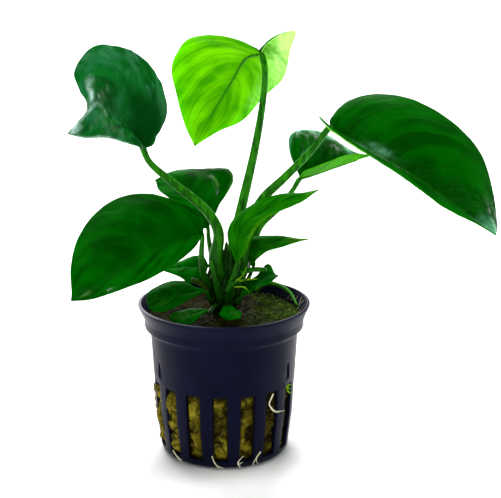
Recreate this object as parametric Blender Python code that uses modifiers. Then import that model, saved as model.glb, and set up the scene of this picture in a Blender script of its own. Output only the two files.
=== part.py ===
"""A young anubias in a slotted plastic aquarium pot filled with rock wool.

Lengths are millimetres here and become metres as each mesh is made. The origin is the middle of
the pot's underside, +Z is up, +X is to the right of the plant's front and -Y is its front.
"""

import math

import bmesh
import bpy
import numpy as np

MM = 0.001
GAP = 0.3

# The pot: a standard 50 mm tall net pot with a flared lip, a stacking collar and 16 side slots.
POT_HEIGHT = 50.0
WALL = 1.0
FLOOR = 1.2
FOOT_RADIUS = 18.6
FOOT_ROUND = 2.6
LIP_RADIUS = 28.0
LIP_LEAN = 0.2
COLLAR_RADIUS = 26.0
COLLAR = (42.6, 45.4)
STEP_RISE = 0.4
NECK = (24.1, 41.4)
BODY = ((23.2, 26.0), (22.6, 14.0))
POT_STEPS = 48
SLOTS = 16
SLOT_WIDTH = 4.9
SLOT_SPAN = (2.8, 25.3)
SLOT_TURN = math.radians(-92.5)
SLOT_CUT = 8.0
NOTCH_TURNS = (-61.5, 61.5, 180.0)
NOTCH_SPAN = (27.7, 33.0)
NOTCH_DEPTH = 0.6
NOTCH_WIDTH = 2.4
NOTCH_TAPER = 0.35
DRAINS = 8
DRAIN_REACH = (8.0, 15.5)
DRAIN_WIDTH = 1.6

# The rock wool plug and the pocket that the rhizome stands in.
WOOL_TOP = 45.8
WOOL_BASE = FLOOR + GAP
POCKET_RADIUS = 4.5
POCKET_FLOOR = 38.0
POCKET_RIM = 0.4
WOOL_STEPS = 32
WOOL_ROUND = 0.6
WOOL_DIP = (16.0, 0.5)
WOOL_LIFT = (9.0, 21.5)
WOOL_EDGE_DROP = 0.8
WOOL_FOOT = 4.6
PAD_INSET = 0.75
PAD_DEPTH = 4.0

# The rhizome: centre and radius at each height.
RHIZOME = ((38.3, 0.0, 0.0, 3.9), (44.0, 0.0, 0.0, 4.1), (50.0, 0.0, 0.2, 3.9), (55.0, 0.3, 0.2, 3.4),
           (59.0, 0.6, 0.1, 2.6), (62.5, 0.9, 0.0, 1.2))

RHIZOME_RINGS = 12

# Blades thin to THIN_SHARE of their thickness where they are narrower than FULL_BODY_WIDTH.
LEAF_THICKNESS = 0.6
SMALLEST_HALF = 1.5
FULL_BODY_WIDTH = 8.0
THIN_SHARE = 0.3

# Stalks keep STALK_TAPER of their radius at the blade and have a ring about every STALK_STEP.
STALK_TAPER = 0.62
STALK_STEP = 5.0
STALK_RISE = 2.5
FRAME_ROWS = 12
SHOOT_RINGS = 7

# Each blade: its midrib from stalk to tip, and its left and right edges, looking along the midrib
# with the upper face up. Puff lifts the middle of each half towards the upper face, as a share of
# its width, and crowd draws the rows of the grid towards the midrib's base.
LEAVES = {
    "high_left": dict(
        midrib=((-24, -12, 103.5), (-27, -19, 109.5), (-30.5, -27, 115), (-34, -34, 119.5),
            (-36, -39, 120), (-38.5, -43, 117.5), (-42.5, -47, 114)),
        left=((-24, -16, 103.5), (-26, -23, 106), (-29.5, -31, 109), (-33.5, -39, 111.5),
            (-38, -45, 112.5)),
        right=((-21.5, -10, 104.5), (-20.5, -7, 107.5), (-17, -4, 114), (-18.5, -6, 122),
            (-23.5, -11, 130), (-30.5, -18, 135), (-37.5, -26, 136), (-42, -33, 130),
            (-40.5, -35, 125), (-38, -36, 121.5), (-38.5, -38, 117.5)),
        puff=(0.1, 0.16), crowd=1.3, grid=(12, 6)),
    "high_back": dict(
        midrib=((12, 8, 130), (8.5, 14, 128.5), (6, 20, 125.5), (3, 27, 119.5), (-1.5, 35, 111),
            (-6.5, 41, 102), (-11, 45, 93)),
        left=((8.5, 3, 133), (1.5, 3, 135.5), (-6.5, 6, 135.5), (-12.5, 10, 133), (-17, 17, 124.5),
            (-16, 26, 114), (-14, 37, 102)),
        right=((13.5, 3, 133), (17, -2, 136.5), (22.5, -6, 138.5), (21, 2, 131.5), (19, 14, 121),
            (13, 24, 113.5), (6, 34, 104), (-2.5, 40, 99)),
        puff=(0.05, 0.07), crowd=1.8, grid=(12, 6)),
    "right_large": dict(
        midrib=((33, -14, 110), (39.5, -17, 106.5), (47, -20, 102.5), (56, -22, 97.5),
            (65, -24, 91.5), (74, -26, 85.5), (82.5, -27, 79.5)),
        left=((33, -12, 112.5), (38, -6, 116.5), (46.5, -1, 118), (57.5, 0, 117), (68, -1, 112.5),
            (76.5, -4, 105.5), (81, -9, 98.5), (83.5, -16, 88.5), (83.5, -24, 81.5)),
        right=((29, -18, 114.5), (31, -27, 113), (37.5, -34, 109), (46, -38, 104), (55.5, -39, 98),
            (65.5, -38, 90.5), (74.5, -34, 85)),
        puff=(0.12, -0.03), crowd=1.6, grid=(12, 6)),
    "left_large": dict(
        midrib=((-6.5, -9, 75), (-14.5, -17, 75), (-24.5, -28, 73.5), (-35, -37, 69), (-44, -42, 63.5)),
        left=((-8.5, -14, 72.5), (-14, -24, 70), (-21.5, -34, 68), (-30, -40, 66), (-37.5, -43, 64.5)),
        right=((-7, -8, 79), (-9.5, -6, 82.5), (-16, -6, 86), (-24, -8, 88), (-32.5, -13, 87.5),
            (-39.5, -20, 84), (-43.5, -28, 78.5), (-44.5, -36, 72), (-44, -40, 66)),
        puff=(0.04, 0.12), crowd=1.3, grid=(12, 6)),
    "left_back": dict(
        midrib=((-5.5, 6, 73.5), (-7, 10, 80), (-11.5, 18, 83.5), (-18, 26, 84.5), (-24, 32, 83.5)),
        left=((-8.5, 4, 73.5), (-12.5, 10, 77.5), (-17.5, 17, 80), (-22.5, 26, 81.5)),
        right=((-3.5, 4, 77), (-2, 7, 80), (0.5, 9, 83.5), (3, 14, 87.5), (1, 20, 90),
            (-5.5, 25, 89.5), (-13.5, 29, 88), (-19.5, 32, 86)),
        puff=(0.05, 0.14), crowd=1.4, grid=(9, 6)),
    "right_back": dict(
        midrib=((25, 16, 88), (29.5, 19, 88.5), (34.5, 24, 89), (42, 31, 90), (50, 38, 91)),
        left=((23.5, 17, 91), (21.5, 19, 96), (21.5, 22, 100.5), (25, 27, 102), (31.5, 31, 101),
            (38, 35, 96.5), (44.5, 38, 92.5)),
        right=((26, 12, 91), (30.5, 12, 93), (36, 17, 93.5), (42.5, 26, 94)),
        puff=(0.12, -0.05), crowd=1.5, grid=(9, 6)),
    "spear": dict(
        midrib=((4, -7, 65.5), (4.5, -8, 71.5), (7, -9, 78), (13, -11, 83), (20, -13, 87),
            (29.5, -16, 91)),
        left=((2, -6, 70.5), (1.5, -4, 75), (4.5, -4, 80), (10.5, -6, 85), (18, -9, 88),
            (25.5, -13, 89.5)),
        right=((6.5, -11, 69), (8.5, -13, 74.5), (12, -14, 80.5), (17.5, -15, 84), (24.5, -17, 87.5)),
        puff=(0.15, 0.1), crowd=1.1, grid=(10, 4)),
    "right_small": dict(
        midrib=((9, -3, 63), (10.5, -5, 68.5), (15.5, -8, 72), (21, -11, 73.5), (26.5, -13, 74.5)),
        left=((7.5, -1, 67), (8.5, 0, 71), (13, -2, 73), (20, -8, 74)),
        right=((10.5, -6, 66), (14, -9, 69.5), (19, -12, 72)),
        puff=(0.1, 0.1), crowd=1.1, grid=(8, 4)),
    "left_small": dict(
        midrib=((-5, 1, 62), (-9, 2, 61.5), (-14.5, 4, 60.5), (-20.5, 6, 59)),
        left=((-6.5, -3, 59), (-10.5, -3, 57), (-14.5, 0, 58.5)),
        right=((-7, 4, 64.5), (-11.5, 7, 63), (-16.5, 8, 61)),
        puff=(0.1, 0.1), crowd=1.1, grid=(7, 4)),
    "rim_left": dict(
        midrib=((-6, -10, 57), (-11, -12, 56.5), (-17.5, -14, 56.5), (-24, -16, 55.5)),
        left=((-8.5, -13, 56), (-13, -16, 54.5), (-18, -18, 52.5), (-22.5, -18, 53)),
        right=((-9, -8, 57.5), (-12.5, -7, 59), (-18.5, -8, 59), (-23, -12, 57.5)),
        puff=(0.1, 0.1), crowd=1.1, grid=(7, 4)),
    "front_left": dict(
        midrib=((-5, -12, 51), (-9.5, -15, 50.5), (-13.5, -17, 50), (-17, -18, 50.5)),
        left=((-6.5, -15, 50.5), (-10, -19, 49), (-13.5, -20, 48.5)),
        right=((-8, -10, 51), (-12.5, -13, 51.5), (-15.5, -16, 51.5)),
        puff=(0.1, 0.1), crowd=1.1, grid=(6, 4)),
    "front": dict(
        midrib=((0, -10, 51), (2.5, -13, 50.5), (5.5, -16, 49.5)),
        left=((2.5, -10, 51.5), (5.5, -13, 50.5)),
        right=((-1.5, -13, 50), (1.5, -16, 49)),
        puff=(0.1, 0.1), crowd=1.1, grid=(5, 4)),
    "right_torn": dict(
        midrib=((5.5, -9, 55), (9, -8, 58), (13, -7, 60.5), (17.5, -6, 60.5)),
        left=((7, -6, 57), (10.5, -4, 60.5), (14, -2, 63), (16, -3, 61.5)),
        right=((8.5, -12, 57), (12, -12, 59), (16, -9, 60)),
        puff=(0.05, 0.05), crowd=1.1, grid=(7, 4)),
}

# Each stalk: where it leaves the rhizome (degrees from the right, height), its radius there, and
# the points it passes on its way to its blade.
STALKS = {
    "high_left": (235, 58, 1.6, (
        (-2.6, -5.2, 66), (-1.6, -6, 75), (-5.8, -6, 82.6), (-15, -8, 91), (-22.2, -11, 98.2))),
    "high_back": (75, 58, 1.5, (
        (3.4, 5, 68), (5.2, 5, 78.2), (9.7, 5.4, 98.1), (12.4, 5, 114), (13.2, 4.6, 124))),
    "right_large": (335, 57, 1.6, (
        (6.4, -3, 67), (8.2, -3.6, 76), (12.2, -5, 85.3), (19.4, -8, 93.3), (27.5, -11, 102.5))),
    "left_large": (205, 53, 1.1, ((-6.4, -5.6, 61), (-7, -7.4, 68))),
    "left_back": (120, 55, 1.0, ((-3.8, 6, 63), (-5, 6.4, 69))),
    "right_back": (20, 55, 1.3, ((8, 3.4, 64), (11.4, 4.6, 73.9), (17.8, 9, 79.3), (22.2, 13, 84))),
    "spear": (285, 52, 1.3, ((2.4, -7, 58),)),
    "right_small": (355, 51, 0.8, ((6.8, -1.2, 56),)),
    "left_small": (172, 50, 0.8, ((-5.6, 1, 56),)),
    "rim_left": (228, 48.6, 0.8, ((-4.6, -6.6, 53),)),
    "front_left": (250, 47.6, 0.8, ((-3, -8, 51),)),
    "front": (285, 47.6, 0.7, ()),
    "right_torn": (315, 48, 0.8, ((5, -7, 52),)),
}

# Old cut petioles, the pale sheath at the crown, the side shoot and the white roots that have
# grown out of the pot: the points each one passes, and its radius at both ends.
SHOOTS = {
    "sheath_front": (((-1.2, -5.8, 53), (-2.1, -7.4, 58), (-3, -8, 62), (-3.9, -8.3, 66)), 1.1, 0.8),
    "sheath_crown": (((1.2, -8.8, 56.4), (2.6, -9.4, 58.6), (5, -9.8, 60)), 0.9, 0.6),
    "stub_left": (((-4.8, -4, 54.6), (-7, -4.8, 57.4), (-10.4, -5.2, 59.2)), 0.8, 0.9),
    "stub_right": (((5.8, -8.6, 62.4), (9, -10, 63.8), (13.6, -11, 64.2)), 0.8, 0.8),
    "side_shoot": (
        ((10.6, 20.6, 47.4), (13.6, 19.6, 50.4), (18, 16.6, 50.8), (22, 12.4, 49.2), (24, 6, 47)), 0.8, 0.5),
}
ROOTS = {
    "root_slot": (
        (15.8, -17.8, 25), (14.6, -19, 22), (15.4, -18.6, 20.2), (17, -17.4, 18.8), (19.6, -15, 18)),
    "root_base_left": ((-16.6, -15.2, 4.4), (-15, -16.6, 2.8), (-13.6, -17.6, 1.4)),
    "root_base_front": ((-3.6, -22.2, 5.4), (-2.8, -22, 3), (-1.6, -21.4, 1.4), (0.6, -21.2, 0.7)),
    "root_base_right": ((11.8, -19.6, 5.8), (10.6, -20.4, 4.2), (9.6, -20.9, 2.6), (9.4, -20.6, 1.2)),
    "root_base_middle": ((5.4, -20.6, 0.8), (4.6, -21.6, 2.4), (5.2, -22, 4.2), (6.4, -21.8, 5.2)),
}
ROOT_RADIUS = 0.45


def unit(vector):
    vector = np.asarray(vector, float)
    return vector / np.linalg.norm(vector, axis=-1, keepdims=True)


def smooth(points, count, crowd=1.0):
    """Points along a Catmull-Rom curve; crowd above 1 draws them to its start."""
    points = np.asarray(points, float)
    points = np.vstack([2 * points[0] - points[1], points, 2 * points[-1] - points[-2]])
    t = np.linspace(0, 1, 16, endpoint=False)[:, None]
    pieces = []
    for a, b, c, d in zip(points, points[1:], points[2:], points[3:]):
        bend = (2 * a - 5 * b + 4 * c - d) * t**2 + (3 * b - a - 3 * c + d) * t**3
        pieces.append(0.5 * (2 * b + (c - a) * t + bend))
    curve = np.vstack(pieces + [points[-2:-1]])
    run = np.concatenate([[0], np.cumsum(np.linalg.norm(np.diff(curve, axis=0), axis=1))])
    places = run[-1] * np.linspace(0, 1, count) ** crowd
    return np.stack([np.interp(places, run, curve[:, axis]) for axis in range(3)], axis=-1)


def blade_edge(leaf, side, rows):
    """One edge of a blade, from just beside its base to just beside its tip."""
    base, tip = (np.array(leaf["midrib"][end], float) for end in (0, -1))
    start = base + unit(leaf[side][0] - base) * SMALLEST_HALF
    end = tip + unit(leaf[side][-1] - tip) * SMALLEST_HALF
    return smooth((start, *leaf[side], end), rows)


def blade_frame(leaf, rows):
    """A blade's midrib, its edges and the way its upper face looks, row by row from base to tip."""
    midrib = smooth(leaf["midrib"], rows, leaf["crowd"])
    left, right = (blade_edge(leaf, side, rows) for side in ("left", "right"))
    up = unit(np.cross(right - left, np.gradient(midrib, axis=0)))
    return midrib, left, right, up


def blade_points(leaf, rows, columns):
    """The blade's middle surface as rows of points from its left edge to its right edge."""
    midrib, left, right, up = blade_frame(leaf, rows)
    points = np.zeros((rows, columns, 3))
    for column, v in enumerate(np.linspace(-1, 1, columns)):
        across = (left if v < 0 else right) - midrib
        width = np.linalg.norm(across, axis=1, keepdims=True)
        puff = leaf["puff"][0 if v < 0 else 1] * math.sin(math.pi * abs(v))
        points[:, column] = midrib + across * abs(v) + up * width * puff
    return points


def material(name, rgb, roughness, metallic=0.0):
    made = bpy.data.materials.new(name)
    made.use_nodes = True
    made.diffuse_color = (*rgb, 1)
    shader = made.node_tree.nodes["Principled BSDF"]
    shader.inputs["Base Color"].default_value = (*rgb, 1)
    shader.inputs["Roughness"].default_value = roughness
    shader.inputs["Metallic"].default_value = metallic
    return made


def add_object(name, data, collection, look=None):
    obj = bpy.data.objects.new(name, data)
    collection.objects.link(obj)
    if look:
        data.materials.append(look)
    return obj


def from_bmesh(name, shape, collection, look=None):
    mesh = bpy.data.meshes.new(name)
    shape.to_mesh(mesh)
    shape.free()
    return add_object(name, mesh, collection, look)


def hide_cutter(obj):
    obj.hide_render = True
    obj.display_type = "WIRE"
    return obj


def turned(name, profile, steps, collection, look=None):
    """A turned solid: the profile, in radius and height, starts and ends on the axis."""
    shape = bmesh.new()
    points = [shape.verts.new((radius * MM, 0, height * MM)) for radius, height in profile]
    for a, b in zip(points, points[1:]):
        shape.edges.new((a, b))
    obj = from_bmesh(name, shape, collection, look)
    screw = obj.modifiers.new("turn", "SCREW")
    screw.steps = steps
    screw.render_steps = steps
    screw.use_merge_vertices = True
    screw.merge_threshold = 0.00001
    return obj


def boolean(obj, cutter, operation):
    cut = obj.modifiers.new(operation.lower(), "BOOLEAN")
    cut.operation = operation
    cut.object = cutter


def tube(name, points, radii, collection, look, sides=2):
    """A tube with closed ends along the points, its radius running evenly between the given ones."""
    data = bpy.data.curves.new(name, "CURVE")
    data.dimensions = "3D"
    data.bevel_depth = MM
    data.bevel_resolution = sides
    data.use_fill_caps = True
    spline = data.splines.new("POLY")
    spline.points.add(len(points) - 1)
    places = np.linspace(0, len(points) - 1, len(radii))
    for index, (point, target) in enumerate(zip(points, spline.points)):
        target.co = (*(float(value) * MM for value in point), 1)
        target.radius = float(np.interp(index, places, radii))
    return add_object(name, data, collection, look)


def add_block(shape, size, centre, turn, taper=1.0):
    """A box turned about the pot's axis; taper narrows its top."""
    made = bmesh.ops.create_cube(shape, size=1)["verts"]
    for vert in made:
        narrow = taper if vert.co.z > 0 else 1.0
        x = centre[0] + vert.co.x * size[0]
        y = centre[1] + vert.co.y * size[1] * narrow
        z = centre[2] + vert.co.z * size[2]
        vert.co = (
            (x * math.cos(turn) - y * math.sin(turn)) * MM,
            (x * math.sin(turn) + y * math.cos(turn)) * MM,
            z * MM,
        )


def outer_radius(height):
    """The pot's outside radius at a height on its slotted body."""
    heights = [FOOT_ROUND, BODY[1][1], BODY[0][1], NECK[1]]
    radii = [FOOT_RADIUS + FOOT_ROUND, BODY[1][0], BODY[0][0], NECK[0]]
    return float(np.interp(height, heights, radii))


def foot_arc(inset, count):
    """The rounded corner between the pot's side and its base, top to bottom."""
    turns = np.radians(np.linspace(0, 90, count))
    radius = FOOT_ROUND - inset
    return [(FOOT_RADIUS + radius * math.cos(a), FOOT_ROUND - radius * math.sin(a)) for a in turns]


def slot_turns():
    return [SLOT_TURN + index * math.tau / SLOTS for index in range(SLOTS)]


def make_pot(parts, cutters):
    look = material("pot_plastic", (0.013, 0.015, 0.030), 0.38)
    outside = [(LIP_RADIUS, POT_HEIGHT), (COLLAR_RADIUS, COLLAR[1]), (COLLAR_RADIUS, COLLAR[0])]
    outside += [NECK, *BODY] + foot_arc(0.0, 4) + [(0, 0)]
    inside = [(0, FLOOR)] + foot_arc(FLOOR, 3)[::-1]
    inside += [(radius - WALL, height) for radius, height in reversed(BODY)]
    inside += [(NECK[0] - WALL, NECK[1] + STEP_RISE), (COLLAR_RADIUS - WALL, COLLAR[0] + STEP_RISE)]
    inside += [(COLLAR_RADIUS - WALL, COLLAR[1] + STEP_RISE), (LIP_RADIUS - WALL - LIP_LEAN, POT_HEIGHT)]
    pot = turned("pot", inside + outside, POT_STEPS, parts, look)

    openings = bmesh.new()
    middle = sum(SLOT_SPAN) / 2
    size = (SLOT_CUT, SLOT_WIDTH, SLOT_SPAN[1] - SLOT_SPAN[0])
    for turn in slot_turns():
        add_block(openings, size, (outer_radius(middle), 0, middle), turn)
    height = sum(NOTCH_SPAN) / 2
    reach = outer_radius(height) + WALL - NOTCH_DEPTH
    size = (2 * WALL, NOTCH_WIDTH, NOTCH_SPAN[1] - NOTCH_SPAN[0])
    for degrees in NOTCH_TURNS:
        add_block(openings, size, (reach, 0, height), math.radians(degrees - 90), taper=NOTCH_TAPER)
    size = (DRAIN_REACH[1] - DRAIN_REACH[0], DRAIN_WIDTH, 3 * FLOOR)
    for index in range(DRAINS):
        turn = SLOT_TURN + (2 * index + 0.5) * math.tau / SLOTS
        add_block(openings, size, (sum(DRAIN_REACH) / 2, 0, FLOOR / 2), turn)
    cutter = hide_cutter(from_bmesh("pot_openings", openings, cutters))
    boolean(pot, cutter, "DIFFERENCE")


def make_wool(parts, cutters):
    look = material("rock_wool", (0.12, 0.10, 0.012), 0.95)
    clear = WALL + GAP
    profile = [(0, POCKET_FLOOR), (POCKET_RADIUS, POCKET_FLOOR), (POCKET_RADIUS, WOOL_TOP + POCKET_RIM)]
    profile += [(WOOL_LIFT[0], WOOL_TOP), (WOOL_DIP[0], WOOL_TOP - WOOL_DIP[1]), (WOOL_LIFT[1], WOOL_TOP)]
    profile += [(COLLAR_RADIUS - clear - WOOL_ROUND, WOOL_TOP - WOOL_EDGE_DROP)]
    profile += [(COLLAR_RADIUS - clear, COLLAR[0] + WOOL_ROUND), (NECK[0] - clear, NECK[1] + STEP_RISE)]
    profile += [(radius - clear, height) for radius, height in BODY]
    profile += [(FOOT_RADIUS + FOOT_ROUND - clear - WOOL_ROUND, WOOL_FOOT)]
    profile += [(FOOT_RADIUS - GAP, WOOL_BASE), (0, WOOL_BASE)]
    wool = turned("rock_wool", profile, WOOL_STEPS, parts, look)

    pads = bmesh.new()
    low, high = SLOT_SPAN[0] + GAP, SLOT_SPAN[1] - GAP
    for turn in slot_turns():
        reach = outer_radius(low) - PAD_INSET - PAD_DEPTH / 2
        add_block(pads, (PAD_DEPTH, SLOT_WIDTH - 2 * GAP, high - low), (reach, 0, (high + low) / 2), turn)
    cutter = hide_cutter(from_bmesh("wool_pads", pads, cutters))
    boolean(wool, cutter, "UNION")


def make_rhizome(parts):
    look = material("rhizome", (0.045, 0.075, 0.012), 0.6)
    heights = [ring[0] for ring in RHIZOME]
    places = np.linspace(heights[0], heights[-1], RHIZOME_RINGS)
    x, y, radii = (np.interp(places, heights, [ring[k] for ring in RHIZOME]) for k in (1, 2, 3))
    tube("rhizome", list(zip(x, y, places)), radii, parts, look, sides=4)


def rhizome_edge(degrees, height, clear):
    """A point beside the rhizome, with the given clearance from its skin."""
    heights = [ring[0] for ring in RHIZOME]
    x, y, radius = (np.interp(height, heights, [ring[k] for ring in RHIZOME]) for k in (1, 2, 3))
    turn = math.radians(degrees)
    reach = radius + clear
    return np.array([x + reach * math.cos(turn), y + reach * math.sin(turn), height])


def make_leaf(name, leaf, parts, look):
    """A blade of even thickness that thins where it narrows to its base and tip."""
    rows, columns = leaf["grid"]
    points = blade_points(leaf, rows + 1, columns + 1)
    shape = bmesh.new()
    bmesh.ops.create_grid(shape, x_segments=columns, y_segments=rows, size=1)
    for vert, point in zip(shape.verts, points.reshape(-1, 3)):
        vert.co = point * MM
    blade = from_bmesh(f"leaf_{name}", shape, parts, look)
    widths = np.linalg.norm(points[:, -1] - points[:, 0], axis=1)
    body = blade.vertex_groups.new(name="body")
    for index, width in enumerate(np.repeat(widths, columns + 1)):
        body.add((index,), float(min(width / FULL_BODY_WIDTH, 1)), "REPLACE")
    thick = blade.modifiers.new("thickness", "SOLIDIFY")
    thick.thickness = LEAF_THICKNESS * MM
    thick.offset = 0
    thick.vertex_group = "body"
    thick.thickness_vertex_group = THIN_SHARE


def make_stalk(name, leaf, parts, look):
    degrees, height, radius, route = STALKS[name]
    midrib, _, _, ups = blade_frame(leaf, FRAME_ROWS)
    up = ups[0]
    tip = radius * STALK_TAPER
    end = midrib[0] - up * (LEAF_THICKNESS / 2 + GAP + tip) - unit(midrib[1] - midrib[0]) * GAP
    start = rhizome_edge(degrees, height, GAP + radius * 0.8)
    out = rhizome_edge(degrees, height + STALK_RISE, GAP + radius * 1.5)
    rings = 3 + max(2, int(np.linalg.norm(end - start) / STALK_STEP))
    points = smooth([start, out, *route, end], rings)
    tube(f"stalk_{name}", points, (radius, radius * 0.8, tip, tip), parts, look, sides=1)


def make_shoots(parts):
    green = material("young_green", (0.10, 0.28, 0.02), 0.45)
    white = material("root", (0.62, 0.60, 0.42), 0.6)
    for name, (points, start, end) in SHOOTS.items():
        tube(name, smooth(points, SHOOT_RINGS), (start, end), parts, green, sides=1)
    for name, points in ROOTS.items():
        tube(name, smooth(points, SHOOT_RINGS + 1), (ROOT_RADIUS, ROOT_RADIUS * 0.8), parts, white, sides=1)


def build():
    for obj in list(bpy.data.objects):
        bpy.data.objects.remove(obj)
    scene = bpy.context.scene.collection
    parts = bpy.data.collections.new("potted_anubias")
    cutters = bpy.data.collections.new("cutters")
    scene.children.link(parts)
    scene.children.link(cutters)
    make_pot(parts, cutters)
    make_wool(parts, cutters)
    make_rhizome(parts)
    blade_look = material("leaf_green", (0.006, 0.085, 0.006), 0.32)
    stalk_look = material("stalk_green", (0.035, 0.21, 0.008), 0.4)
    for name, leaf in LEAVES.items():
        make_leaf(name, leaf, parts, blade_look)
        make_stalk(name, leaf, parts, stalk_look)
    make_shoots(parts)


build()
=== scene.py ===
"""A young anubias in a slotted aquarium pot filled with rock wool, built round its CAD frame.

Lengths are millimetres in the tables and helpers, and become metres as each mesh is made.
+Z is up, +X is to the right of the plant's front and -Y is its front.
"""

import math

import bmesh
import bpy
import numpy as np
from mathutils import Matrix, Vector, noise


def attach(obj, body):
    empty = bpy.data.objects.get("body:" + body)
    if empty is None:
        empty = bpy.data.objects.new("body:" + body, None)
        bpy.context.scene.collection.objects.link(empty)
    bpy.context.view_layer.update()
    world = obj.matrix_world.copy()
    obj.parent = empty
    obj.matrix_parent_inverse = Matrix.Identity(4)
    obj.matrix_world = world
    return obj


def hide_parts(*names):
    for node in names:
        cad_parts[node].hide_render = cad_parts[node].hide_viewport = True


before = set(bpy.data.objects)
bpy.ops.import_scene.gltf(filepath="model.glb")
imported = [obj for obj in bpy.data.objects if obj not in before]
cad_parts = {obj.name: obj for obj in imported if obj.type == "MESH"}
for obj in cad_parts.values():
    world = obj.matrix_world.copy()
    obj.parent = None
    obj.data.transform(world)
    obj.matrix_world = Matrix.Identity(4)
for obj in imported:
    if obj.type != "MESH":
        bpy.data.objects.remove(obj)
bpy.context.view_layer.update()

MM = 0.001
BODY = "root"

# The camera stands in front, a little above the leaves.
CAMERA_PLACE = (8.6, -420.0, 182.0)
CAMERA_PITCH = 74.8
CAMERA_LENS = 96.9

# The pot's outside, as radius and height, and the plastic's thickness.
POT_HEIGHT = 50.0
WALL = 1.0
FLOOR = 1.2
FOOT_RADIUS = 18.6
FOOT_ROUND = 2.6
LIP_RADIUS = 28.0
COLLAR_RADIUS = 26.0
COLLAR = (42.6, 45.4)
NECK = (24.1, 41.4)
MIDDLE = (23.2, 26.0)
LOWER = (22.6, 14.0)
SLOTS = 16
SLOT_WIDTH = 4.9
SLOT_SPAN = (2.8, 25.3)
SLOT_TURN = math.radians(-92.5)
DRAIN_REACH = (8.0, 15.5)
DRAIN_WIDTH = 1.6
NOTCH_TURNS = (-61.5, 61.5, 180.0)
NOTCH_SPAN = (27.7, 33.0)
NOTCH_DEPTH = 0.55
NOTCH_WIDTHS = (2.5, 0.9)
MOULDED_EDGE = 0.18

WOOL_TOP = 45.8
RHIZOME = ((38.3, 0.0, 0.0, 3.9), (44.0, 0.0, 0.0, 4.1), (50.0, 0.0, 0.2, 3.9), (55.0, 0.3, 0.2, 3.4),
           (59.0, 0.6, 0.1, 2.6), (62.5, 0.9, 0.0, 1.2))
GAP = 0.3
BLADE_THICKNESS = 0.42
SMALLEST_HALF = 0.25
STALK_TAPER = 0.62

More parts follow.
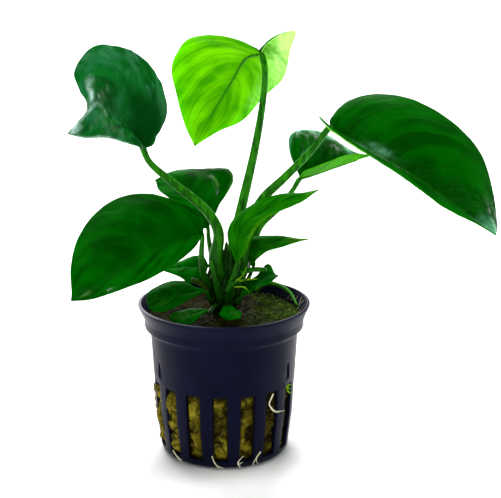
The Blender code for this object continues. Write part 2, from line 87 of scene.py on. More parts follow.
# Each blade: its midrib from stalk to tip, and its left and right edges, looking along the midrib
# with the upper face up. Puff lifts the middle of each half towards the upper face, as a share of
# its width, and crowd draws the rows of the grid towards the midrib's base; small blades share theirs.
LEAVES = {
    "high_left": dict(
        midrib=((-24, -12, 103.5), (-27, -19, 109.5), (-30.5, -27, 115), (-34, -34, 119.5),
            (-36, -39, 120), (-38.5, -43, 117.5), (-42.5, -47, 114)),
        left=((-24, -16, 103.5), (-26, -23, 106), (-29.5, -31, 109), (-33.5, -39, 111.5),
            (-38, -45, 112.5)),
        right=((-21.5, -10, 104.5), (-20.5, -7, 107.5), (-17, -4, 114), (-18.5, -6, 122),
            (-23.5, -11, 130), (-30.5, -18, 135), (-37.5, -26, 136), (-42, -33, 130),
            (-40.5, -35, 125), (-38, -36, 121.5), (-38.5, -38, 117.5)),
        puff=(0.1, 0.16), crowd=1.3),
    "high_back": dict(
        midrib=((12, 8, 130), (8.5, 14, 128.5), (6, 20, 125.5), (3, 27, 119.5), (-1.5, 35, 111),
            (-6.5, 41, 102), (-11, 45, 93)),
        left=((8.5, 3, 133), (1.5, 3, 135.5), (-6.5, 6, 135.5), (-12.5, 10, 133), (-17, 17, 124.5),
            (-16, 26, 114), (-14, 37, 102)),
        right=((13.5, 3, 133), (17, -2, 136.5), (22.5, -6, 138.5), (21, 2, 131.5), (19, 14, 121),
            (13, 24, 113.5), (6, 34, 104), (-2.5, 40, 99)),
        puff=(0.05, 0.07), crowd=1.8),
    "right_large": dict(
        midrib=((33, -14, 110), (39.5, -17, 106.5), (47, -20, 102.5), (56, -22, 97.5),
            (65, -24, 91.5), (74, -26, 85.5), (82.5, -27, 79.5)),
        left=((33, -12, 112.5), (38, -6, 116.5), (46.5, -1, 118), (57.5, 0, 117), (68, -1, 112.5),
            (76.5, -4, 105.5), (81, -9, 98.5), (83.5, -16, 88.5), (83.5, -24, 81.5)),
        right=((29, -18, 114.5), (31, -27, 113), (37.5, -34, 109), (46, -38, 104), (55.5, -39, 98),
            (65.5, -38, 90.5), (74.5, -34, 85)),
        puff=(0.12, -0.03), crowd=1.6),
    "left_large": dict(
        midrib=((-6.5, -9, 75), (-14.5, -17, 75), (-24.5, -28, 73.5), (-35, -37, 69), (-44, -42, 63.5)),
        left=((-8.5, -14, 72.5), (-14, -24, 70), (-21.5, -34, 68), (-30, -40, 66), (-37.5, -43, 64.5)),
        right=((-7, -8, 79), (-9.5, -6, 82.5), (-16, -6, 86), (-24, -8, 88), (-32.5, -13, 87.5),
            (-39.5, -20, 84), (-43.5, -28, 78.5), (-44.5, -36, 72), (-44, -40, 66)),
        puff=(0.04, 0.12), crowd=1.3),
    "left_back": dict(
        midrib=((-5.5, 6, 73.5), (-7, 10, 80), (-11.5, 18, 83.5), (-18, 26, 84.5), (-24, 32, 83.5)),
        left=((-8.5, 4, 73.5), (-12.5, 10, 77.5), (-17.5, 17, 80), (-22.5, 26, 81.5)),
        right=((-3.5, 4, 77), (-2, 7, 80), (0.5, 9, 83.5), (3, 14, 87.5), (1, 20, 90),
            (-5.5, 25, 89.5), (-13.5, 29, 88), (-19.5, 32, 86)),
        puff=(0.05, 0.14), crowd=1.4),
    "right_back": dict(
        midrib=((25, 16, 88), (29.5, 19, 88.5), (34.5, 24, 89), (42, 31, 90), (50, 38, 91)),
        left=((23.5, 17, 91), (21.5, 19, 96), (21.5, 22, 100.5), (25, 27, 102), (31.5, 31, 101),
            (38, 35, 96.5), (44.5, 38, 92.5)),
        right=((26, 12, 91), (30.5, 12, 93), (36, 17, 93.5), (42.5, 26, 94)),
        puff=(0.12, -0.05), crowd=1.5),
    "spear": dict(
        midrib=((4, -7, 65.5), (4.5, -8, 71.5), (7, -9, 78), (13, -11, 83), (20, -13, 87),
            (29.5, -16, 91)),
        left=((2, -6, 70.5), (1.5, -4, 75), (4.5, -4, 80), (10.5, -6, 85), (18, -9, 88),
            (25.5, -13, 89.5)),
        right=((6.5, -11, 69), (8.5, -13, 74.5), (12, -14, 80.5), (17.5, -15, 84), (24.5, -17, 87.5)),
        puff=(0.15, 0.1), crowd=1.1),
    "right_small": dict(
        midrib=((9, -3, 63), (10.5, -5, 68.5), (15.5, -8, 72), (21, -11, 73.5), (26.5, -13, 74.5)),
        left=((7.5, -1, 67), (8.5, 0, 71), (13, -2, 73), (20, -8, 74)),
        right=((10.5, -6, 66), (14, -9, 69.5), (19, -12, 72))),
    "left_small": dict(
        midrib=((-5, 1, 62), (-9, 2, 61.5), (-14.5, 4, 60.5), (-20.5, 6, 59)),
        left=((-6.5, -3, 59), (-10.5, -3, 57), (-14.5, 0, 58.5)),
        right=((-7, 4, 64.5), (-11.5, 7, 63), (-16.5, 8, 61))),
    "rim_left": dict(
        midrib=((-6, -10, 57), (-11, -12, 56.5), (-17.5, -14, 56.5), (-24, -16, 55.5)),
        left=((-8.5, -13, 56), (-13, -16, 54.5), (-18, -18, 52.5), (-22.5, -18, 53)),
        right=((-9, -8, 57.5), (-12.5, -7, 59), (-18.5, -8, 59), (-23, -12, 57.5))),
    "front_left": dict(
        midrib=((-5, -12, 51), (-9.5, -15, 50.5), (-13.5, -17, 50), (-17, -18, 50.5)),
        left=((-6.5, -15, 50.5), (-10, -19, 49), (-13.5, -20, 48.5)),
        right=((-8, -10, 51), (-12.5, -13, 51.5), (-15.5, -16, 51.5))),
    "front": dict(
        midrib=((0, -10, 51), (2.5, -13, 50.5), (5.5, -16, 49.5)),
        left=((2.5, -10, 51.5), (5.5, -13, 50.5)),
        right=((-1.5, -13, 50), (1.5, -16, 49))),
    "right_torn": dict(
        midrib=((5.5, -9, 55), (9, -8, 58), (13, -7, 60.5), (17.5, -6, 60.5)),
        left=((7, -6, 57), (10.5, -4, 60.5), (14, -2, 63), (16, -3, 61.5)),
        right=((8.5, -12, 57), (12, -12, 59), (16, -9, 60)),
        puff=(0.05, 0.05), crowd=1.1),
}

# Each stalk: where it leaves the rhizome (degrees from the right, height), its radius there, and
# the points it passes on its way to its blade.
STALKS = {
    "high_left": (235, 58, 1.6, ((-2.6, -5.2, 66), (-1.6, -6, 75), (-5.8, -6, 82.6), (-15, -8, 91),
        (-22.2, -11, 98.2))),
    "high_back": (75, 58, 1.5, ((3.4, 5, 68), (5.2, 5, 78.2), (9.7, 5.4, 98.1), (12.4, 5, 114),
        (13.2, 4.6, 124))),
    "right_large": (335, 57, 1.6, ((6.4, -3, 67), (8.2, -3.6, 76), (12.2, -5, 85.3), (19.4, -8, 93.3),
        (27.5, -11, 102.5))),
    "left_large": (205, 53, 1.1, ((-6.4, -5.6, 61), (-7, -7.4, 68))),
    "left_back": (120, 55, 1.0, ((-3.8, 6, 63), (-5, 6.4, 69))),
    "right_back": (20, 55, 1.3, ((8, 3.4, 64), (11.4, 4.6, 73.9), (17.8, 9, 79.3), (22.2, 13, 84))),
    "spear": (285, 52, 1.3, ((2.4, -7, 58),)),
    "right_small": (355, 51, 0.8, ((6.8, -1.2, 56),)),
    "left_small": (172, 50, 0.8, ((-5.6, 1, 56),)),
    "rim_left": (228, 48.6, 0.8, ((-4.6, -6.6, 53),)),
    "front_left": (250, 47.6, 0.8, ((-3, -8, 51),)),
    "front": (285, 47.6, 0.7, ()),
    "right_torn": (315, 48, 0.8, ((5, -7, 52),)),
}

# Old cut petioles, the pale sheath at the crown, the side shoot and the white roots that have
# grown out of the pot: the points each one passes, and its radius at both ends.
SHOOTS = {
    "sheath_front": (((-1.2, -5.8, 53), (-2.1, -7.4, 58), (-3, -8, 62), (-3.9, -8.3, 66)), 1.1, 0.8),
    "sheath_crown": (((1.2, -8.8, 56.4), (2.6, -9.4, 58.6), (5, -9.8, 60)), 0.9, 0.6),
    "stub_left": (((-4.8, -4, 54.6), (-7, -4.8, 57.4), (-10.4, -5.2, 59.2)), 0.8, 0.9),
    "stub_right": (((5.8, -8.6, 62.4), (9, -10, 63.8), (13.6, -11, 64.2)), 0.8, 0.8),
    "side_shoot": (((10.6, 20.6, 47.4), (13.6, 19.6, 50.4), (18, 16.6, 50.8), (22, 12.4, 49.2), (24, 6, 47)),
        0.8, 0.5),
}
ROOTS = {
    "root_slot": ((15.8, -17.8, 25), (14.6, -19, 22), (15.4, -18.6, 20.2), (17, -17.4, 18.8),
        (19.6, -15, 18)),
    "root_base_left": ((-16.6, -15.2, 4.4), (-15, -16.6, 2.8), (-13.6, -17.6, 1.4)),
    "root_base_front": ((-3.6, -22.2, 5.4), (-2.8, -22, 3), (-1.6, -21.4, 1.4), (0.6, -21.2, 0.7)),
    "root_base_right": ((11.8, -19.6, 5.8), (10.6, -20.4, 4.2), (9.6, -20.9, 2.6), (9.4, -20.6, 1.2)),
    "root_base_middle": ((5.4, -20.6, 0.8), (4.6, -21.6, 2.4), (5.2, -22, 4.2), (6.4, -21.8, 5.2)),
}
ROOT_RADIUS = 0.45

# Veins sweep towards the tip: how far, as a share of the blade, and how late they bend.
VEIN_SWEEP = 0.3
VEIN_POWER = 1.5
EDGE_WAVES = 2.2

# How each blade's skin differs from the plain one. "shine" marks where water stands on it, and "pale"
# marks painted light: painted highlights and reflections where positive, painted shade where
# negative. Each mark is its place along and across the blade, its size along and across, and its
# strength.
SKIN = {
    "high_left": dict(
        look="wet", blister=0.3, quilt=0.05, fine=(110, 90),
        shine=((0.76, 0.35, 0.1, 0.2, 1.0), (0.95, -0.3, 0.1, 0.7, 1.0), (0.66, -0.4, 0.14, 0.4, 0.5)),
        pale=((0.79, 0.4, 0.04, 0.13, 1.0), (0.74, 0.62, 0.04, 0.12, 0.5), (0.96, -0.3, 0.05, 0.6, 0.9),
              (0.82, 0.1, 0.07, 0.12, 0.7), (0.7, -0.1, 0.05, 0.3, 0.3), (0.2, 0.15, 0.2, 0.45, -1.2),
              (0.6, -0.97, 0.5, 0.05, 0.5), (0.42, 0.3, 0.12, 0.2, -0.45), (0.6, 0.05, 0.08, 0.2, -0.5))),
    "high_back": dict(
        look="lit", veins=8, wave=0.2, quilt=0.05, fine=(100, 80),
        pale=((0.22, 0.95, 0.3, 0.5, 1.0), (0.08, 0.9, 0.12, 0.5, 0.8), (0.3, -0.6, 0.06, 0.6, 0.3),
              (0.15, -0.5, 0.11, 0.4, -1.2), (0.7, 0.02, 0.25, 0.14, -0.5), (0.88, 0.05, 0.12, 0.4, -0.45),
              (0.6, 0.9, 0.2, 0.2, 0.25))),
    "right_large": dict(
        wave=0.2, veins=8, quilt=0.03, fine=(110, 90),
        shine=((0.4, 0.1, 0.2, 0.12, 1.1), (0.55, -0.02, 0.14, 0.1, 0.8), (0.96, -0.3, 0.08, 0.7, 1.4),
               (0.8, -0.2, 0.1, 0.3, 0.4)),
        pale=((0.15, 1.0, 0.25, 0.1, 0.9), (0.99, -0.2, 0.07, 0.8, 0.95), (0.33, 0.05, 0.08, 0.05, 0.6),
              (0.45, -0.06, 0.08, 0.05, 0.55), (0.72, 0.3, 0.2, 0.2, 0.15))),
    "left_large": dict(
        look="shaded", veins=8, quilt=0.03, wave=0.3, fine=(100, 80),
        shine=((0.95, -0.2, 0.06, 0.5, 0.8), (0.79, -0.8, 0.03, 0.1, 0.6)),
        pale=((0.92, -0.5, 0.05, 0.3, 0.35), (0.3, 0.2, 0.25, 0.5, -0.6))),
    "left_back": dict(
        look="shaded", quilt=0.03, wave=0.3,
        shine=((0.41, 0.55, 0.1, 0.06, 1.3), (0.3, 1.0, 0.25, 0.1, 1.2)),
        pale=((0.43, 0.57, 0.08, 0.04, 0.6), (0.3, 1.0, 0.3, 0.07, 0.6))),
    "right_back": dict(
        quilt=0.03, wave=0.3,
        shine=((0.7, -0.8, 0.25, 0.35, 1.4), (0.3, -0.5, 0.12, 0.1, 0.9), (0.45, -0.95, 0.4, 0.1, 1.0)),
        pale=((0.62, -0.85, 0.1, 0.12, 0.9), (0.82, -0.6, 0.06, 0.4, 0.7), (0.3, -0.45, 0.12, 0.05, 0.5),
              (0.25, -1.0, 0.4, 0.1, 0.7))),
    "spear": dict(
        look="young", wave=0.2, quilt=0.05, pale=((0.95, 0, 0.06, 1, 0.4), (0.4, 0.9, 0.4, 0.2, 0.3))),
    "right_small": dict(look="young", wave=0.2, quilt=0.05, fine=(50, 40), pale=((0.9, 0, 0.15, 1, 0.6),)),
    "left_small": dict(look="shaded", quilt=0.04, wave=0.2, fine=(50, 40)),
    "rim_left": dict(look="shaded", quilt=0.04, wave=0.2, fine=(50, 40), pale=((0.8, -0.5, 0.3, 0.5, 0.2),)),
    "front_left": dict(look="shaded", quilt=0.04, wave=0.2, fine=(40, 30), pale=((0.7, 0, 0.3, 0.6, 0.35),)),
    "front": dict(look="shaded", quilt=0.04, fine=(30, 20), pale=((0.7, 0, 0.3, 0.6, 0.3),)),
    "right_torn": dict(look="shaded", wave=0.5, quilt=0.05, fine=(50, 40)),
}
for leaf_name, skin in SKIN.items():
    LEAVES[leaf_name] = dict(puff=(0.1, 0.1), crowd=1.1) | LEAVES[leaf_name] | skin

# Short sheaths that wrap the crown: degrees round it, the heights of foot and tip, how far the tip
# stands off the rhizome, and the radius.
CROWN_SHEATHS = (
    (205, 49, 57, 4.0, 1.5), (238, 51, 65, 2.6, 2.1), (262, 50, 60, 3.6, 2.0), (290, 50, 61, 3.4, 1.9),
    (318, 51, 63, 3.2, 1.8), (350, 50, 59, 3.6, 1.6), (25, 53, 63, 2.6, 1.7), (68, 54, 66, 2.4, 1.8),
    (110, 54, 65, 2.6, 1.7), (150, 52, 62, 3.0, 1.6), (185, 53, 64, 2.4, 1.7), (248, 47, 53, 4.4, 1.5),
    (274, 46.6, 52, 5.4, 1.6), (303, 47, 53.5, 4.4, 1.5), (222, 55, 70, 1.8, 1.7), (300, 55, 69, 2.0, 1.7),
    (262, 56, 71, 1.4, 1.6), (340, 56, 68, 1.8, 1.5), (90, 58, 69, 1.2, 1.5),
)

# The tiny green sprouts that come out of a slot on the right, and at the crown.
SPROUTS = (
    ((19.2, -11.4, 25.6), (20.4, -12, 25), (21.6, -11.6, 24.2)),
    ((20, -12, 25), (21.2, -12, 25.8), (22.2, -11, 25.6)),
    ((20.4, -12, 24.8), (20.8, -12.6, 23.6), (21.8, -12, 22.8)),
    ((4, -9.6, 60), (6, -11, 62), (7.4, -11.6, 65)),
    ((4.6, -9.8, 60), (8, -11.4, 61), (11, -12, 61.4)),
    ((3.4, -9.6, 58), (6.6, -12, 58.6), (8.4, -13, 57)),
)

# Fine root hairs that lean over the pot's lip, and the nubs inside it.
ROOT_HAIRS = (
    ((21, 13, 47), (23.4, 15, 49.8), (27, 20, 52.4), (31.5, 26, 55.4)),
    ((22, 11, 47), (24.4, 13, 49.6), (27, 16, 51), (30.4, 20, 52.6)),
    ((23.4, 9.6, 47), (25, 11, 49.8), (26.6, 14, 50.2)),
    ((24.4, 5.6, 47), (26.2, 8, 50), (28.6, 12, 50.3)),
    ((23.4, -4, 47), (25.2, -3.4, 49), (26.4, -2.6, 50.2)),
    ((23.8, 1, 47), (25.4, 2, 49.2), (26.6, 3.2, 50.1)),
)


def unit(vector):
    vector = np.asarray(vector, float)
    return vector / np.linalg.norm(vector, axis=-1, keepdims=True)


def smooth(points, count, crowd=1.0):
    """Points along a Catmull-Rom curve through the given ones; crowd above 1 draws them to its start."""
    points = np.asarray(points, float)
    points = np.vstack([2 * points[0] - points[1], points, 2 * points[-1] - points[-2]])
    t = np.linspace(0, 1, 16, endpoint=False)[:, None]
    pieces = []
    for a, b, c, d in zip(points, points[1:], points[2:], points[3:]):
        bend = (2 * a - 5 * b + 4 * c - d) * t**2 + (3 * b - a - 3 * c + d) * t**3
        pieces.append(0.5 * (2 * b + (c - a) * t + bend))
    curve = np.vstack(pieces + [points[-2:-1]])
    run = np.concatenate([[0], np.cumsum(np.linalg.norm(np.diff(curve, axis=0), axis=1))])
    places = run[-1] * np.linspace(0, 1, count) ** crowd
    return np.stack([np.interp(places, run, curve[:, axis]) for axis in range(3)], axis=-1)


def blade_edge(leaf, side, rows):
    """One edge of a blade, from just beside its base to just beside its tip."""
    base, tip = (np.array(leaf["midrib"][end], float) for end in (0, -1))
    start = base + unit(leaf[side][0] - base) * SMALLEST_HALF
    end = tip + unit(leaf[side][-1] - tip) * SMALLEST_HALF
    return smooth((start, *leaf[side], end), rows)


def blade_frame(leaf, rows):
    """A blade's midrib, its edges and the way its upper face looks, row by row from base to tip."""
    midrib = smooth(leaf["midrib"], rows, leaf["crowd"])
    left, right = (blade_edge(leaf, side, rows) for side in ("left", "right"))
    up = unit(np.cross(right - left, np.gradient(midrib, axis=0)))
    return midrib, left, right, up


def blade_points(leaf, rows, columns):
    """The blade's middle surface as rows of points from its left edge to its right edge."""
    midrib, left, right, up = blade_frame(leaf, rows)
    points = np.zeros((rows, columns, 3))
    for column, v in enumerate(np.linspace(-1, 1, columns)):
        across = (left if v < 0 else right) - midrib
        width = np.linalg.norm(across, axis=1, keepdims=True)
        puff = leaf["puff"][0 if v < 0 else 1] * math.sin(math.pi * abs(v))
        points[:, column] = midrib + across * abs(v) + up * width * puff
    return points


# ---- Small tools ----


def srgb(code):
    """A colour code such as #2b6a1e as linear red, green, blue and alpha."""
    shares = [int(code[start:start + 2], 16) / 255 for start in (1, 3, 5)]
    return (*[c / 12.92 if c <= 0.04045 else ((c + 0.055) / 1.055) ** 2.4 for c in shares], 1.0)


# The node kinds that come up often: Blender's type, the sockets that values feed in turn, the output
# that is used, and the settings that stay the same.
KINDS = {
    "place": ("ShaderNodeTexCoord", (), "Object", {}),
    "blade_place": ("ShaderNodeTexCoord", (), "UV", {}),
    "way": ("ShaderNodeTexCoord", (), "Generated", {}),
    "x": ("ShaderNodeSeparateXYZ", (0,), 0, {}),
    "y": ("ShaderNodeSeparateXYZ", (0,), 1, {}),
    "z": ("ShaderNodeSeparateXYZ", (0,), 2, {}),
    "mark": ("ShaderNodeAttribute", (), "Fac", {}),
    "noise": ("ShaderNodeTexNoise", ("Vector", "Scale", "Detail", "Roughness"), "Fac", {}),
    "rings": ("ShaderNodeTexWave", ("Vector", "Scale", "Distortion", "Detail"), "Fac",
              {"bands_direction": "Z"}),
    "range": ("ShaderNodeMapRange", (0, 1, 2, 3, 4), 0, {}),
    "ease": ("ShaderNodeMapRange", (0, 1, 2, 3, 4), 0, {"interpolation_type": "SMOOTHSTEP"}),
    "mix": ("ShaderNodeMix", (0, 6, 7), 2, {"data_type": "RGBA"}),
    "math": ("ShaderNodeMath", (0, 1, 2), 0, {}),
    "multiply": ("ShaderNodeMath", (0, 1), 0, {"operation": "MULTIPLY"}),
    "multiply_add": ("ShaderNodeMath", (0, 1, 2), 0, {"operation": "MULTIPLY_ADD"}),
    "bump": ("ShaderNodeBump", ("Height", "Strength", "Distance"), 0, {}),
}


def feed(tree, node, inputs):
    """Links or sets a node's inputs."""
    for key, value in inputs.items():
        if isinstance(value, bpy.types.NodeSocket):
            tree.links.new(value, node.inputs[key])
        else:
            node.inputs[key].default_value = value


def add(tree, kind, *values, **settings):
    """Adds a node, by its name in KINDS or by Blender's with one dictionary of inputs; gives its output."""
    kind, sockets, output, usual = KINDS.get(kind, (kind, None, 0, {}))
    made = tree.nodes.new(kind)
    for key, value in {**usual, **settings}.items():
        setattr(made, key, value)
    if sockets is None:
        feed(tree, made, *values or ({},))
    else:
        feed(tree, made, dict(zip(sockets, values)))
    return made.outputs[output]


def new_material(name, **constants):
    """A material with one Principled shader, whose named sockets are set here."""
    made = bpy.data.materials.new(name)
    made.use_nodes = True
    shader = made.node_tree.nodes["Principled BSDF"]
    feed(made.node_tree, shader, {key.replace("_", " "): value for key, value in constants.items()})
    return made, made.node_tree, shader


def link_object(name, data):
    obj = bpy.data.objects.new(name, data)
    bpy.context.scene.collection.objects.link(obj)
    return obj


def close_seams(mesh):
    """Welds the points that meet at a mesh's seams and poles."""
    shape = bmesh.new()
    shape.from_mesh(mesh)
    bmesh.ops.remove_doubles(shape, verts=shape.verts, dist=0.000001)
    shape.to_mesh(mesh)
    shape.free()


def grid_object(name, points, uvs=None):
    """A sheet of quads through rows and columns of points in mm, with its corners' UVs."""
    rows, columns = points.shape[:2]
    shape = bmesh.new()
    bmesh.ops.create_grid(shape, x_segments=columns - 1, y_segments=rows - 1, size=1)
    for vert, point in zip(shape.verts, points.reshape(-1, 3)):
        vert.co = point * MM
    if uvs is not None:
        shape.verts.index_update()
        flat = uvs.reshape(-1, 2)
        layer = shape.loops.layers.uv.new("blade")
        for face in shape.faces:
            for loop in face.loops:
                loop[layer].uv = flat[loop.vert.index]
    mesh = bpy.data.meshes.new(name)
    shape.to_mesh(mesh)
    shape.free()
    mesh.shade_smooth()
    return link_object(name, mesh)


def baked(obj, weld=False):
    """The object as a plain mesh with its modifiers applied."""
    depsgraph = bpy.context.evaluated_depsgraph_get()
    mesh = bpy.data.meshes.new_from_object(obj.evaluated_get(depsgraph))
    name = obj.name
    bpy.data.objects.remove(obj)
    if weld:
        close_seams(mesh)
    mesh.name = name
    mesh.shade_smooth()
    return link_object(name, mesh)


def joined(name, objects):
    """Several plain meshes made into one object."""
    shape = bmesh.new()
    for obj in objects:
        shape.from_mesh(obj.data)
        bpy.data.objects.remove(obj)
    mesh = bpy.data.meshes.new(name)
    shape.to_mesh(mesh)
    shape.free()
    mesh.shade_smooth()
    return link_object(name, mesh)


def tube(name, points, radii, sides=6):
    """A round tube with closed ends along the points, through evenly spaced radii, in mm."""
    data = bpy.data.curves.new(name, "CURVE")
    data.dimensions = "3D"
    data.bevel_depth = MM
    data.bevel_resolution = sides
    data.use_fill_caps = True
    spline = data.splines.new("POLY")
    spline.points.add(len(points) - 1)
    places = np.linspace(0, len(points) - 1, len(radii))
    for index, (point, target) in enumerate(zip(points, spline.points)):
        target.co = (*(float(value) * MM for value in point), 1)
        target.radius = float(np.interp(index, places, radii))
    return baked(link_object(name, data), weld=True)


def finish_piece(obj, look, slot, *nodes):
    """Gives a piece its material and body, and hides the CAD nodes that it stands for; the slot is not used.
    """
    if look:
        obj.data.materials.clear()
        obj.data.materials.append(look)
    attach(obj, BODY)
    if nodes:
        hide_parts(*nodes)
    return obj


def bumps(point, size, seed=0.0):
    """Smooth noise between about -1 and 1 at a point in mm, with features of the given size."""
    return noise.noise(Vector((point[0] / size + seed, point[1] / size, point[2] / size)))


def bump_field(points, size, seed=0.0):
    flat = points.reshape(-1, 3)
    return np.array([bumps(point, size, seed) for point in flat]).reshape(points.shape[:-1])


def step(x, low, high):
    """Smooth step from 0 at low to 1 at high."""
    t = np.clip((x - low) / (high - low), 0, 1)
    return t * t * (3 - 2 * t)


# ---- Materials ----


def polypropylene():
    """Injection moulded polypropylene, blue-black: a low sheen with a faint orange-peel skin."""
    look, tree, shader = new_material("moulded_polypropylene", IOR=1.49, Specular_IOR_Level=0.06,
                                      Specular_Tint=srgb("#8c96dc"))
    place = add(tree, "place")
    cloudy = add(tree, "noise", place, 90.0, 4.0)
    skin = add(tree, "noise", place, 1400.0, 2.0)
    feed(tree, shader, {
        "Base Color": add(tree, "mix", cloudy, srgb("#0a0b18"), srgb("#12142a")),
        "Roughness": add(tree, "range", cloudy, 0.3, 0.7, 0.3, 0.44),
        "Normal": add(tree, "bump", skin, 0.15, 0.0001)})
    return look


def wet_rock_wool():
    """Spun mineral wool soaked in a tank: olive-yellow lumps, algae film on top, painted shade in gaps."""
    look, tree, shader = new_material("wet_rock_wool", Roughness=0.75, Specular_IOR_Level=0.03)
    place = add(tree, "place")
    on_top = add(tree, "range", add(tree, "z", place), 0.041, 0.0445)
    lumps = add(tree, "noise", place, 230.0, 6.0, 0.65)
    grains = add(tree, "ShaderNodeTexVoronoi", {"Vector": place, "Scale": 700.0})
    pale = add(tree, "range", grains, 0.1, 0.5, 0.3, 0.0)
    wool = add(tree, "mix", add(tree, "range", lumps, 0.36, 0.64), srgb("#4a4200"), srgb("#8e821e"))
    wool = add(tree, "mix", pale, wool, srgb("#b8ae52"))
    green = add(tree, "range", add(tree, "noise", place, 120.0, 6.0, 0.7), 0.44, 0.58)
    film = add(tree, "mix", green, srgb("#120b00"), srgb("#262800"))
    film = add(tree, "mix", pale, film, srgb("#3a2e00"))
    towards_right = add(tree, "range", add(tree, "x", place), 0.004, 0.02, 0.0, 0.8)
    film = add(tree, "mix", add(tree, "multiply", towards_right, green), film, srgb("#385a00"))
    surface = add(tree, "mix", on_top, wool, film)
    # Painted light and shade: the plug's weight is low in the gaps, deep in the slots, towards the right and
    # in the hollows of the top, and there the near-black colour is mixed in as painted shade.
    painted_light_level = add(tree, "mark", attribute_name="painted_light_level")
    feed(tree, shader, {
        "Base Color": add(tree, "mix", painted_light_level, srgb("#140f00"), surface),
        "Normal": add(tree, "bump", lumps, 0.7, 0.0006)})
    return look


def fibre_strand(name, dark, light):
    """Single mineral or root fibres: dull strands that differ a little along their length."""
    look, tree, shader = new_material(name, Roughness=0.65, Specular_IOR_Level=0.05)
    tone = add(tree, "noise", add(tree, "place"), 420.0, 2.0)
    spread = add(tree, "range", tone, 0.35, 0.65)
    feed(tree, shader, {"Base Color": add(tree, "mix", spread, srgb(dark), srgb(light))})
    return look


def living_blade(name, colours, veins=9, glow=0.1, film=0.0, vein_show=0.15, contrast=1.0):
    """A living blade: waxy skin over soft green tissue that lets some light through.

    The veins leave the midrib and sweep towards the tip, with streaks of deep and fresh tissue along
    them. The colours are those of deep and fresh tissue, veins and painted highlights; painted shade
    darkens the tissue near the midrib and where the "pale" weight is negative. glow is the share
    of light that goes into the tissue, film adds broken patches of water all over, which also paint a
    green-grey sheen into the colour, vein_show says how much the veins differ from the tissue, and
    contrast how hard the streaks are.
    """
    look, tree, shader = new_material(name, IOR=1.46, Subsurface_Weight=glow,
                                      Subsurface_Radius=(0.5, 1.0, 0.12), Subsurface_Scale=0.0009)
    deep, fresh, vein, painted_highlight = (srgb(code) for code in colours)
    place = add(tree, "place")
    blade = add(tree, "blade_place")
    signed = add(tree, "multiply_add", add(tree, "y", blade), 2.0, -1.0)
    reach = add(tree, "math", signed, operation="ABSOLUTE")
    late = add(tree, "math", reach, VEIN_POWER, operation="POWER")
    swept = add(tree, "multiply_add", late, -VEIN_SWEEP, add(tree, "x", blade))
    stray = add(tree, "noise", place, 130.0, 3.0)
    along = add(tree, "multiply", add(tree, "multiply_add", stray, 0.06, swept), float(veins))
    main_veins = add(tree, "math", along, 0.5, operation="PINGPONG")
    bold = add(tree, "ease", main_veins, 0.0, 0.14, 1.0, 0.0)
    fine_veins = add(tree, "math", add(tree, "multiply", along, 4.0), 0.5, operation="PINGPONG")
    fine = add(tree, "ease", fine_veins, 0.0, 0.4, 1.0, 0.0)
    rib = add(tree, "ease", reach, 0.01, 0.045, 1.0, 0.0)

    streaked = add(tree, "ShaderNodeCombineXYZ", {0: along, 1: signed})
    bands = add(tree, "noise", streaked, 1.1, 3.0)
    patch = add(tree, "multiply", add(tree, "noise", place, 110.0, 5.0), 0.4)
    mottle = add(tree, "multiply_add", bands, 0.6, patch)
    tone = add(tree, "ease", mottle, 0.5 - 0.12 / contrast, 0.5 + 0.12 / contrast)
    flesh = add(tree, "mix", tone, deep, fresh)
    # Painted shade: the tissue darkens towards the midrib, where the fold of the blade lies in shade.
    flesh = add(tree, "mix", add(tree, "ease", reach, 0.0, 0.3, 0.35, 0.0), flesh, deep)
    for line, show in ((fine, vein_show * 0.25), (bold, vein_show), (rib, min(2.2 * vein_show, 0.8))):
        flesh = add(tree, "mix", add(tree, "multiply", line, show), flesh, vein)

    # Painted light: where the marks are positive the highlight colour is mixed in, broken by streaks and
    # drops, as painted highlights and reflections; where negative the deep colour is mixed in as painted
    # shade.
    weight = add(tree, "mark", attribute_name="pale")
    drops = add(tree, "noise", place, 480.0, 4.0)
    painted_highlight_mask = add(tree, "multiply", weight, add(tree, "ease", mottle, 0.38, 0.6, 0.6, 1.1))
    painted_highlight_mask = add(tree, "multiply", painted_highlight_mask, add(tree, "ease", drops, 0.4, 0.6, 0.8, 1.15))
    flesh = add(tree, "mix", add(tree, "ease", painted_highlight_mask, 0.05, 1.0), flesh, painted_highlight)
    flesh = add(tree, "mix", add(tree, "ease", weight, -0.05, -1.0), flesh, deep)

    drip = add(tree, "ShaderNodeMapping", {"Vector": place, "Scale": (1.0, 1.0, 0.5)})
    wide = add(tree, "ease", add(tree, "noise", drip, 190.0, 7.0, 0.62), 0.46, 0.58, 0.0, film)
    # The puddles are real gloss in the specular and roughness, and are also painted into the colour as a
    # green-grey sheen, a painted reflection.
    puddles_and_painted_sheen = add(tree, "multiply", wide, add(tree, "ease", weight, -0.05, -0.8, 1.0, 0.0))
    shine = add(tree, "mark", attribute_name="shine")
    speckled = add(tree, "multiply", shine, add(tree, "ease", drops, 0.42, 0.6, 0.2, 1.0))
    water = add(tree, "multiply_add", puddles_and_painted_sheen, 0.35, speckled)
    pebble = add(tree, "multiply_add", drops, 0.4 + 1.2 * film, add(tree, "multiply", bold, 0.5))
    height = add(tree, "multiply_add", puddles_and_painted_sheen, -1.5, pebble)
    feed(tree, shader, {
        "Base Color": add(tree, "mix", puddles_and_painted_sheen, flesh, srgb("#1c6e40")),
        "Specular IOR Level": add(tree, "ease", water, 0.0, 1.0, 0.005, 0.4),
        "Roughness": add(tree, "ease", water, 0.0, 0.8, 0.45, 0.2),
        "Normal": add(tree, "bump", height, 0.3, 0.0002, invert=True)})
    return look


